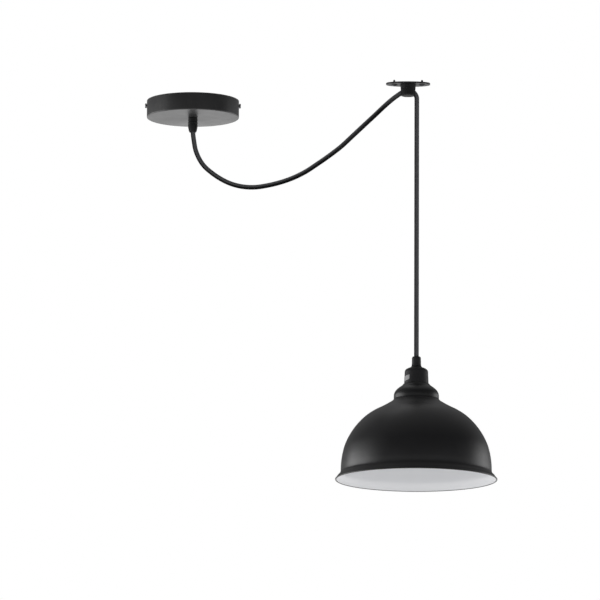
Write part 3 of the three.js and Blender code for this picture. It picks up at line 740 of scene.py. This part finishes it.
def cross_screw(name, profile, segs, mat, origin, body, node, slot, cross=True, thread=None, depth=0.8, flip=False):
    def warp(th, r, z):
        if thread and thread[0] < z < thread[1] and abs(r - thread[2]) < 0.35:
            return r - 0.05 + thread[3] * math.sin(2 * math.pi * z / thread[4] + th)
        return r
    q = []
    for i in range(len(profile) - 1):
        q.append(profile[i])
        if thread and abs(profile[i][0] - profile[i + 1][0]) < 1.8 and abs(profile[i + 1][1] - profile[i][1]) > 1.0:
            k = int(abs(profile[i + 1][1] - profile[i][1]) / (thread[4] / 5)) + 1
            q += [(profile[i][0] + (profile[i + 1][0] - profile[i][0]) * j / k, profile[i][1] + (profile[i + 1][1] - profile[i][1]) * j / k) for j in range(1, k)]
    q.append(profile[-1])
    s = revolve(name, q, segs, mat, warp=warp, angle=50)
    zs = [z for r, z in profile]
    z_face = min(zs) if not flip else max(zs)
    cuts = []
    for k in range(2 if cross else 1):
        lo, hi = (z_face - 2, z_face + depth) if not flip else (z_face - depth, z_face + 2)
        c = block("slot", (-(1.9 if cross else 9), -0.4, lo), ((1.9 if cross else 9), 0.4, hi), mat, bevel=0)
        turn(c, Matrix.Rotation(k * math.pi / 2 + 0.3, 4, "Z"))
        cuts.append(c)
    s = boolean(s, cuts, angle=45)
    turn(s, Matrix.Translation(Vector(origin) * MM))
    return done(s, body, node, slot=slot)


cross_screw("earth_screw_head", soften([(0, -0.3), (1.7, -0.3), (1.7, -1.8), (3.9, -1.8), (3.9, -3.2), (2.6, -4.2), (0, -4.2)], 0.35, False, 3), 36, M_NICKEL, (-26, 0, 0), "ceiling", "earth_screw", "nickel")

# terminal block: a waisted nylon strip with a bore and two screw holes for each way
tb = block("terminal_block_moulded", (14.0, -8.5, -13.6), (40.0, 8.5, -1.8), M_WHITE, bevel=0.9, segs=3)
cuts = []
for k in (-1, 0, 1):
    c = revolve("bore", [(0, 5), (1.85, 5), (1.85, 60), (0, 60)], 24, M_WHITE)
    turn(c, Matrix.Translation((0, k * 5.4 * MM, -9.2 * MM)) @ Matrix.Rotation(math.pi / 2, 4, "Y"))
    cuts.append(c)
    for x in (20, 34):
        cuts.append(revolve("bore", [(0, -20), (2.05, -20), (2.05, -9.2), (0, -9.2)], 24, M_WHITE, origin=(x, k * 5.4, 0)))
for y in (-8.7, 8.7):
    cuts.append(block("notch", (25.5, y - 1.2, -20), (28.5, y + 1.2, 5), M_WHITE, bevel=0.4))
for y in (-2.7, 2.7):
    cuts.append(block("groove", (10, y - 0.45, -14.6), (44, y + 0.45, -12.6), M_WHITE, bevel=0))
tb = boolean(tb, cuts, angle=32)
done(tb, "ceiling", "terminal_block", slot="white_plastic")
for i, node in enumerate(("terminal_screw_live", "terminal_screw_earth", "terminal_screw_neutral")):
    cross_screw(node + "_slotted", soften([(0, -10.9), (1.75, -10.9), (1.75, -13.0), (1.4, -13.3), (0, -13.3)], 0.15, False, 2), 24, M_BRASS, (20, (i - 1) * 5.4, 0), "ceiling", node, "brass", cross=False, depth=0.7)


def wire(name, pts, mat, body, node, slot, origin=(0, 0, 0)):
    line, _ = catmull([tuple(np.array(p) + np.array(origin)) for p in pts], 0.4)
    o = sweep(name, line, 1.15, 16, mat, round_ends=0.5)
    return done(o, body, node, slot=slot)


wire("wire_live_core", [(1.5, -1.6, -13.2), (3.4, -3.2, -11.2), (7.0, -5.0, -9.6), (12.0, -5.4, -9.2), (17.5, -5.4, -9.2)], M_BROWN, "ceiling", "wire_live", "wire_brown")
wire("wire_neutral_core", [(1.5, 1.6, -13.2), (3.4, 3.2, -11.2), (7.0, 5.0, -9.6), (12.0, 5.4, -9.2), (17.5, 5.4, -9.2)], M_BLUE, "ceiling", "wire_neutral", "wire_blue")
wire("wire_earth_core", [(-2.0, 0, -13.2), (-3.8, 0, -10.8), (-8.0, 0, -8.4), (-15.0, 0, -7.4), (-22.0, 0, -6.9), (-26.0, 0, -5.9)], M_GREEN, "ceiling", "wire_earth", "wire_green")

# cord grip at the canopy
nut = outline_solid("locknut_hex", [(8.6 * math.cos(k * math.pi / 3), 8.6 * math.sin(k * math.pi / 3)) for k in range(6)], -25.9, -21.4, M_PLASTIC, bevel=0.5, segs=3)
nut = boolean(nut, [revolve("bore", [(0, -30), (5.45, -30), (5.45, -10), (0, -10)], 40, M_PLASTIC)], angle=30)
done(nut, "ceiling", "canopy_grip_locknut", slot="black_plastic")


def grip_body_warp(th, r, z):
    if r > 7.0 and -32.6 < z < -27.9:
        return r - 0.22 * (0.5 + 0.5 * math.cos(th * 24)) ** 3
    if 4.9 < r < 5.4 and z > -26.9:
        return r - 0.1 + 0.12 * math.sin(2 * math.pi * z / 1.5 + th)
    return r


gp = [(3.95, -20.1), (4.7, -20.1), (5.2, -20.6)] + [(5.2, -20.6 - 0.3 * k) for k in range(1, 23)] + [(5.2, -27.5), (7.1, -27.5), (7.4, -27.8), (7.4, -28.9), (7.4, -30.2), (7.4, -31.5), (7.4, -32.3), (7.1, -32.7), (3.95, -32.7)]
gb = revolve("canopy_grip_collar", soften(gp, 0.15, True, 2), 144, M_GRIP, warp=grip_body_warp, angle=42)
done(gb, "ceiling", "canopy_grip_body", slot="black_plastic")

sl = soften([(3.95, -33.0), (6.9, -33.0), (7.6, -33.8), (7.6, -36.3), (7.05, -36.7), (7.05, -37.4), (7.5, -37.8), (7.45, -41.7), (6.6, -46.3), (5.6, -49.4), (5.1, -50.1), (3.95, -50.1)], 0.5, True, 4)


def sleeve_warp(th, r, z):
    if r > 7.2 and -36.4 < z < -33.7:
        return r - 0.2 * (0.5 + 0.5 * math.cos(th * 18)) ** 2
    return r


sleeve = revolve("canopy_grip_collet", sl, 108, M_GRIP, warp=sleeve_warp, angle=36)
cuts = []
for k in range(2):
    c = block("slit", (-10, -0.55, -52), (10, 0.55, -39.2), M_GRIP, bevel=0)
    turn(c, Matrix.Rotation(k * math.pi / 2 + 0.62, 4, "Z"))
    cuts.append(c)
sleeve = boolean(sleeve, cuts, angle=36)
done(sleeve, "ceiling", "canopy_grip_sleeve", slot="black_plastic")

# --------------------------------------------------------------------- hook


pts = []
for i in range(112):
    a = i / 112 * 2 * math.pi
    k = 2 / 2.3
    pts.append((math.copysign(34.3 * abs(math.cos(a)) ** k, math.cos(a)), math.copysign(16.5 * abs(math.sin(a)) ** k, math.sin(a))))
base = outline_solid("hook_base_plate", pts, -2.2, 0.0, M_PLASTIC, bevel=0.55, segs=4, angle=32)
hub = revolve("hub", soften([(0, -5.9), (8.6, -5.9), (8.6, -1.0), (0, -1.0)], 0.3, False, 3), 64, M_PLASTIC)
rings = [hub]
for k in (-1, 1):
    rings.append(revolve("boss", soften([(0, -2.9), (4.6, -2.9), (5.4, -2.1), (5.4, -1.0), (0, -1.0)], 0.3, False, 3), 48, M_PLASTIC, origin=(k * 21.6, 0, 0)))
base = boolean(base, rings, mode="UNION", angle=32)
cuts = [revolve("hole", [(0, -6), (1.95, -6), (1.95, 3), (0, 3)], 28, M_PLASTIC, origin=(k * 21.6, 0, 0)) for k in (-1, 1)]
cuts += [revolve("sink", [(0, -2.5), (3.9, -2.5), (3.9, -8.0), (0, -8.0)], 36, M_PLASTIC, origin=(k * 21.6, 0, 0)) for k in (-1, 1)]
base = boolean(base, cuts, angle=32)
turn(base, Matrix.Translation((HOOK_X * MM, HOOK_Y * MM, 0)))
done(base, "ceiling", "hook_base", slot="black_plastic")


def rib_warp(th, r, z):
    if r > 11.0 and z > -18.7:
        return r - 0.32 * (0.5 + 0.5 * math.cos(th * 30)) ** 2
    return r


cup = [(0, -20.0), (9.6, -20.0), (11.2, -19.5), (11.8, -18.0), (12.0, -11.0), (12.3, -5.2), (12.75, -2.9), (12.75, -2.5), (9.8, -2.5), (9.8, -16.8), (0, -16.8)]
cup_p = soften(cup, 1.1, False, 5)
cap = revolve("hook_cap_ribbed", cup_p, 240, M_GRIP, warp=rib_warp, angle=40)
turn(cap, Matrix.Translation((HOOK_X * MM, HOOK_Y * MM, 0)))
ch_line, _ = catmull([swag_point(u, z) for u, z in SWAG[-3:]] + [(HOOK_X + d, HOOK_Y, z) for d, z in TURN] + [(DROP_X, DROP_Y, -26)], 1.5)
channel = sweep("channel", ch_line, 3.85, 40, M_PLASTIC)
slot_box = block("slot", (HOOK_X - 16, HOOK_Y - 3.85, -12.6), (HOOK_X + 16, HOOK_Y + 3.85, 1.0), M_PLASTIC, bevel=0)
cap = boolean(cap, [channel, slot_box], angle=36)
done(cap, "ceiling", "hook_cap", slot="black_plastic")

for node, k in (("hook_screw_left", -1), ("hook_screw_right", 1)):
    p = [(0, 5.6), (1.1, 5.3), (1.6, 4.2), (1.7, 3.6), (1.7, -2.5), (3.6, -2.5), (3.6, -3.3), (2.5, -4.5), (0, -4.7)]
    cross_screw(node + "_threaded", p, 40, M_SCREW, (HOOK_X + k * 21.6, HOOK_Y, 0), "ceiling", node, "screw_black", thread=(-1.8, 5.0, 1.6, 0.16, 1.3), depth=0.9)

# ---------------------------------------------------------------- lamp head
HO = (DROP_X, DROP_Y, RIM_Z)


def head_flute(th, r, z):
    if r > 6.2 and 180.6 < z < 189.6:
        return r - 0.12 * (0.5 + 0.5 * math.cos(th * 16)) ** 4
    return r


g = soften([(3.95, 178.5), (7.4, 178.5), (7.25, 180.2), (7.12, 182.0), (7.1, 184.0), (7.05, 186.0), (7.0, 188.0), (6.9, 189.8), (6.6, 191.2), (5.8, 192.3), (5.3, 192.5), (3.95, 192.5)], 0.35, True, 3)
grip = revolve("holder_grip_nut", g, 128, M_HOLDER, origin=HO, warp=head_flute, angle=40)
done(grip, "lamp", "holder_grip", slot="black_plastic")

ci, _ = catmull([(7.5, 0, 178.2), (7.85, 0, 177.3), (8.6, 0, 176.3), (9.8, 0, 175.5), (11.9, 0, 174.6), (14.2, 0, 173.6), (16.1, 0, 172.3), (17.4, 0, 170.9), (18.05, 0, 169.0), (18.2, 0, 166.5)], 0.5)
outer = [(float(p[0]), float(p[2])) for p in ci] + [(18.35, 162.0), (18.6, 156.8), (18.72, 154.0), (18.8, 152.2)]
# a step where the two halves of the lampholder meet
outer += [(18.85, 151.2), (18.6, 151.0), (18.6, 150.6), (18.9, 150.4), (18.9, 149.8)]
cap_p = [(3.95, 172.6), (3.95, 178.0)] + outer + [(16.3, 149.8), (16.3, 166.0), (14.5, 169.2), (10.0, 171.4)]
cap2 = revolve("holder_cap_moulded", soften(cap_p, 0.2, True, 3), 128, M_HOLDER, origin=HO, angle=34)
done(cap2, "lamp", "holder_cap", slot="black_plastic")

# label: a blank film wrapped on the cap, slightly askew


def cap_radius(z):
    return float(np.interp(z, [149.8, 152.2, 154.0, 156.8, 162.0, 166.5], [18.9, 18.8, 18.72, 18.6, 18.35, 18.15]))


def label():
    bm = bmesh.new()
    nu, nv, th = 36, 10, 0.14
    grid = {}
    for layer in (0, 1):
        for i in range(nu + 1):
            for j in range(nv + 1):
                fu, fv = i / nu, j / nv
                # rounded corners
                ins = 0.0
                du, dv = min(fu, 1 - fu) * 19.0, min(fv, 1 - fv) * 7.4
                a = math.radians(172 + fu * 62)
                z = 152.5 + fv * 7.4 + fu * 3.2
                rr = 0.9
                if du < rr and dv < rr:
                    # pull the corner in
                    d = math.hypot(rr - du, rr - dv)
                    if d > rr:
                        s = rr / d
                        cu, cv = rr - (rr - du) * s, rr - (rr - dv) * s
                        fu2 = (cu if fu < 0.5 else 19.0 - cu) / 19.0
                        fv2 = (cv if fv < 0.5 else 7.4 - cv) / 7.4
                        a = math.radians(172 + fu2 * 62)
                        z = 152.5 + fv2 * 7.4 + fu2 * 3.2
                z = z - 0.6
                r = cap_radius(z) + 0.03 + (th if layer else 0.0)
                grid[layer, i, j] = bm.verts.new(((DROP_X + r * math.cos(a)) * MM, (DROP_Y + r * math.sin(a)) * MM, (RIM_Z + z) * MM))
    for i in range(nu):
        for j in range(nv):
            bm.faces.new([grid[1, i, j], grid[1, i + 1, j], grid[1, i + 1, j + 1], grid[1, i, j + 1]])
            bm.faces.new([grid[0, i, j], grid[0, i, j + 1], grid[0, i + 1, j + 1], grid[0, i + 1, j]])
    for i in range(nu):
        bm.faces.new([grid[0, i, 0], grid[0, i + 1, 0], grid[1, i + 1, 0], grid[1, i, 0]])
        bm.faces.new([grid[0, i, nv], grid[1, i, nv], grid[1, i + 1, nv], grid[0, i + 1, nv]])
    for j in range(nv):
        bm.faces.new([grid[0, 0, j], grid[1, 0, j], grid[1, 0, j + 1], grid[0, 0, j + 1]])
        bm.faces.new([grid[0, nu, j], grid[0, nu, j + 1], grid[1, nu, j + 1], grid[1, nu, j]])
    me = bpy.data.meshes.new("rating_label_film")
    bm.to_mesh(me)
    bm.free()
    o = link("rating_label_film", me, M_LABEL)
    outward(o)
    return finish_mesh(o, 40)


done(label(), "lamp", "rating_label", slot="label")


def thread_warp(r0, amp, pitch, z0, z1, hand=1):
    def f(th, r, z):
        if z0 < z < z1 and abs(r - r0) < 0.9:
            return r + amp * math.sin(2 * math.pi * z / pitch - hand * th)
        return r
    return f


def stacked(r, z0, z1, step):
    k = max(1, int(abs(z1 - z0) / step))
    return [(r, z0 + (z1 - z0) * j / k) for j in range(k + 1)]


bp = [(14.6, 117.0), (16.2, 117.0)] + stacked(16.8, 117.6, 149.0, 0.35) + [(16.6, 149.2), (15.9, 149.2), (15.9, 157.5), (14.6, 157.5)]
hb = revolve("holder_body_threaded", soften(bp, 0.15, True, 2), 96, M_HOLDER, origin=HO, warp=thread_warp(16.8, 0.18, 2.0, 118.5, 148.5), angle=45)
done(hb, "lamp", "holder_body", slot="black_plastic")


def ring_warp(th, r, z):
    if r > 19.0 and 139.6 < z < 147.5:
        return r - 0.5 * (0.5 + 0.5 * math.cos(th * 24)) ** 4
    return r


rp = soften([(17.4, 139.0), (19.1, 139.0), (19.5, 139.5), (19.5, 141.5), (19.5, 144.0), (19.5, 147.0), (19.3, 148.1), (17.4, 148.1)], 0.3, True, 3)
rg = revolve("shade_ring_ribbed", rp, 192, M_HOLDER, origin=HO, warp=ring_warp, angle=45)
done(rg, "lamp", "shade_ring", slot="black_plastic")

ins = revolve("socket_insulator_fired", soften([(0, 149.3), (14.2, 149.3), (14.2, 153.6), (12.0, 155.0), (0, 155.0)], 0.5, False, 4), 64, M_PORCELAIN, origin=HO, angle=40)
done(ins, "lamp", "socket_insulator", slot="white_plastic")

sp = [(13.4, 122.5), (14.1, 122.5)] + stacked(13.8, 123.4, 148.2, 0.45) + [(13.5, 149.0), (8.0, 149.0), (8.0, 148.5), (13.0, 148.5)] + stacked(13.4, 148.0, 123.4, 0.45)
ss = revolve("screw_shell_rolled", sp, 96, M_BRASS, origin=HO, warp=thread_warp(13.6, 0.2, 3.63, 124.5, 146.5), angle=50)
done(ss, "lamp", "screw_shell", slot="brass")

cc = revolve("centre_contact_spring", soften([(0, 147.2), (2.2, 147.2), (3.4, 147.7), (3.4, 149.0), (0, 149.0)], 0.4, False, 3), 32, M_BRASS, origin=HO)
done(cc, "lamp", "centre_contact", slot="brass")
for node, k in (("holder_terminal_live", -1), ("holder_terminal_neutral", 1)):
    cross_screw(node + "_slotted", soften([(0, 155.3), (2.6, 155.3), (2.6, 157.2), (2.1, 157.8), (0, 157.8)], 0.2, False, 2), 28, M_BRASS, (DROP_X + 8.5 * k, DROP_Y, RIM_Z), "lamp", node, "brass", cross=False, depth=0.7, flip=True)
wire("holder_wire_live_core", [(-1.9, 0, 164.9), (-3.2, 0, 162.9), (-6.4, 0, 161.2), (-8.5, 0, 158.4)], M_BROWN, "lamp", "holder_wire_live", "wire_brown", HO)
wire("holder_wire_neutral_core", [(1.9, 0, 164.9), (3.2, 0, 162.9), (6.4, 0, 161.2), (8.5, 0, 158.4)], M_BLUE, "lamp", "holder_wire_neutral", "wire_blue", HO)

# -------------------------------------------------------------------- shade
NECK = [(20.2, 149.4), (22.3, 146.9), (24.8, 145.2), (27.9, 142.9), (30.7, 140.4), (33.1, 137.3), (34.5, 133.8), (34.9, 130.8), (34.92, 128.6), (34.9, 126.8)]
DOME = [(35.1, 125.3), (37.2, 123.1), (41.8, 120.1), (47.5, 116.7), (55.1, 112.6), (65.0, 107.6), (75.7, 100.7), (86.5, 91.1), (96.1, 79.8), (104.3, 66.9), (110.5, 53.1), (114.4, 37.5), (116.1, 24.0), (116.5, 13.6)]
FLARE = [(116.9, 11.2), (118.2, 9.2), (119.9, 7.4), (121.6, 5.6), (122.9, 3.7)]


def dense(points, step):
    line, _ = catmull([(r, 0, z) for r, z in points], step)
    return [(float(p[0]), float(p[2])) for p in line]


out_line = dense(NECK + DOME + FLARE, 1.6)
n_out = len(out_line)
tan = np.gradient(np.array(out_line), axis=0)
tan /= np.linalg.norm(tan, axis=1)[:, None]
in_line = [(float(p[0] + t[1] * 1.0), float(p[1] - t[0] * 1.0)) for p, t in zip(out_line, tan)]
in_line[0] = (19.7, 148.4)
bc, br = (123.95, 0.9), 1.15
bead = [(bc[0] + br * math.cos(a), bc[1] + br * math.sin(a)) for a in np.linspace(math.radians(88), math.radians(-178), 18)]
profile = [(17.6, 149.2), (17.8, 149.4)] + out_line + bead + in_line[::-1] + [(17.8, 148.4), (17.6, 148.6)]
tags = []
for i, (r, z) in enumerate(profile):
    inside = i >= 2 + n_out + len(bead) - 2
    tags.append(1 if inside else 0)
shade = revolve("shade_spun", profile, 256, [M_SHADE, M_SHADE_IN], origin=HO, tags=tags, angle=50)
done(shade, "lamp", "shade", slot="shade_paint")

# --------------------------------------------------------------------- bulb
bc1 = revolve("bulb_contact_button", soften([(0, 146.9), (2.4, 146.6), (3.6, 145.6), (3.6, 144.9), (0, 144.9)], 0.4, False, 4), 32, M_NICKEL, origin=HO)
done(bc1, "bulb_top", "bulb_contact", slot="nickel")
bi = revolve("bulb_insulator_glass", soften([(0, 144.6), (4.2, 144.6), (9.4, 142.2), (9.4, 141.4), (0, 141.4)], 0.4, False, 4), 48, M_VITRITE, origin=HO)
done(bi, "bulb_top", "bulb_insulator", slot="bulb_black_glass")
bb = [(9.9, 142.0), (11.4, 141.5), (12.4, 140.6), (12.9, 139.4)] + stacked(12.85, 138.8, 121.4, 0.4) + [(12.95, 120.6), (12.9, 118.9), (12.5, 118.7), (12.3, 118.9), (12.3, 120.6)] + stacked(12.3, 121.4, 138.8, 0.8) + [(11.4, 140.4), (9.9, 141.2)]
base2 = revolve("bulb_base_rolled", bb, 96, M_NICKEL, origin=HO, warp=thread_warp(12.6, 0.22, 3.63, 122.0, 138.4), angle=50)
done(base2, "bulb", "bulb_base", slot="nickel")
gl = [(30 * math.sin(a), 69 - 30 * math.cos(a)) for a in np.linspace(0, math.pi / 2, 34)]
neck = dense([(30.0, 69.0), (29.9, 73.5), (29.4, 78.0), (26.6, 87.5), (22.0, 97.0), (17.4, 105.5), (14.4, 112.0), (13.2, 117.6)], 1.2)
gl += neck[1:] + [(12.4, 118.3), (11.9, 118.9), (11.9, 124.0), (11.1, 124.0), (11.1, 118.6)]
inn = [(r - 0.9, z) for r, z in reversed(neck[1:])]
gl += inn + [(29.1 * math.sin(a), 69 - 29.1 * math.cos(a)) for a in np.linspace(math.pi / 2, 0, 20)]
gl[0] = (0.0, gl[0][1]); gl[-1] = (0.0, gl[-1][1])
bulb = revolve("bulb_globe_frosted", gl, 96, M_GLASS, origin=HO, angle=50)
done(bulb, "bulb", "bulb_globe", slot="bulb_glass")

# -------------------------------------------------------------------- stage
floor_me = bpy.data.meshes.new("floor")
bm = bmesh.new()
bmesh.ops.create_circle(bm, cap_ends=True, radius=2.2, segments=96)
bm.to_mesh(floor_me)
bm.free()
m, nt, b = new_material("floor_pale")
co = obj_coord(nt)
nt.links.new(ramp(nt, noise(nt, co, 1.2, 3.0), [(0.3, (0.86, 0.86, 0.86)), (0.7, (0.9, 0.9, 0.9))]), b.inputs["Base Color"])
b.inputs["Roughness"].default_value = 0.8
b.inputs["Emission Color"].default_value = (1.0, 1.0, 1.0, 1.0)
b.inputs["Emission Strength"].default_value = 0.35
floor = link("floor", floor_me, m)
floor.location = (0.17, -0.1, -2.75)

world = bpy.data.worlds.new("studio")
scene.world = world
world.use_nodes = True
nt = world.node_tree
nt.nodes.clear()
out = nt.nodes.new("ShaderNodeOutputWorld")
bg = nt.nodes.new("ShaderNodeBackground")
white = nt.nodes.new("ShaderNodeBackground")
white.inputs["Color"].default_value = (1, 1, 1, 1)
white.inputs["Strength"].default_value = 1.0
mixs = nt.nodes.new("ShaderNodeMixShader")
lp = nt.nodes.new("ShaderNodeLightPath")
tc = nt.nodes.new("ShaderNodeTexCoord")
sp_ = nt.nodes.new("ShaderNodeSeparateXYZ")
nt.links.new(tc.outputs["Generated"], sp_.inputs["Vector"])
up = remap(nt, sp_.outputs["Z"], 0.0, 1.0, -1.0, 1.0)
sky = ramp(nt, up, [(0.0, (0.88, 0.88, 0.89)), (0.40, (1.0, 1.0, 1.0)), (0.48, (1.0, 1.0, 1.0)), (0.51, (0.3, 0.3, 0.305)), (0.56, (0.07, 0.07, 0.072)), (0.66, (0.03, 0.03, 0.031)), (1.0, (0.03, 0.03, 0.031))])


def panel(direction, inner, outer, strength, below):
    """Adds a large soft panel in one direction of the surround."""
    dot = nt.nodes.new("ShaderNodeVectorMath")
    dot.operation = "DOT_PRODUCT"
    nt.links.new(tc.outputs["Generated"], dot.inputs[0])
    dot.inputs[1].default_value = Vector(direction).normalized()
    lobe = nt.nodes.new("ShaderNodeMapRange")
    lobe.interpolation_type = "SMOOTHSTEP"
    lobe.inputs["From Min"].default_value = math.cos(math.radians(outer))
    lobe.inputs["From Max"].default_value = math.cos(math.radians(inner))
    lobe.inputs["To Min"].default_value = 0.0
    lobe.inputs["To Max"].default_value = strength
    nt.links.new(dot.outputs["Value"], lobe.inputs["Value"])
    add = nt.nodes.new("ShaderNodeVectorMath")
    add.operation = "ADD"
    nt.links.new(below, add.inputs[0])
    nt.links.new(lobe.outputs["Result"], add.inputs[1])
    return add.outputs["Vector"]


around = panel((-0.05, 0.22, 0.97), 0, 58, 0.29, sky)
around = panel((0.0, 0.97, 0.24), 20, 72, 0.16, around)
nt.links.new(around, bg.inputs["Color"])
bg.inputs["Strength"].default_value = 1.0
nt.links.new(lp.outputs["Is Camera Ray"], mixs.inputs["Fac"])
nt.links.new(bg.outputs["Background"], mixs.inputs[1])
nt.links.new(white.outputs["Background"], mixs.inputs[2])
nt.links.new(mixs.outputs["Shader"], out.inputs["Surface"])


def area(name, loc, target, size, power, size_y=None, color=(1, 1, 1)):
    d = bpy.data.lights.new(name, "AREA")
    d.energy = power
    d.size = size
    d.color = color
    if size_y:
        d.shape = "RECTANGLE"
        d.size_y = size_y
    o = bpy.data.objects.new(name, d)
    scene.collection.objects.link(o)
    o.location = loc
    o.rotation_euler = (Vector(target) - Vector(loc)).to_track_quat("-Z", "Y").to_euler()
    return o


HEAD = (0.35, -0.15, -0.55)
area("soft_left", (-1.85, 0.2, -0.4), HEAD, 2.2, 24.0, 1.05)
area("soft_right", (2.35, 0.9, -0.34), HEAD, 1.5, 9.8, 0.95)
area("canopy_fill", (0.0, 0.3, 0.75), (0.0, 0.0, 0.0), 0.5, 0.45, 0.5)

scene.view_settings.view_transform = "Standard"
scene.view_settings.look = "None"
scene.view_settings.exposure = 0.0
scene.view_settings.gamma = 1.0
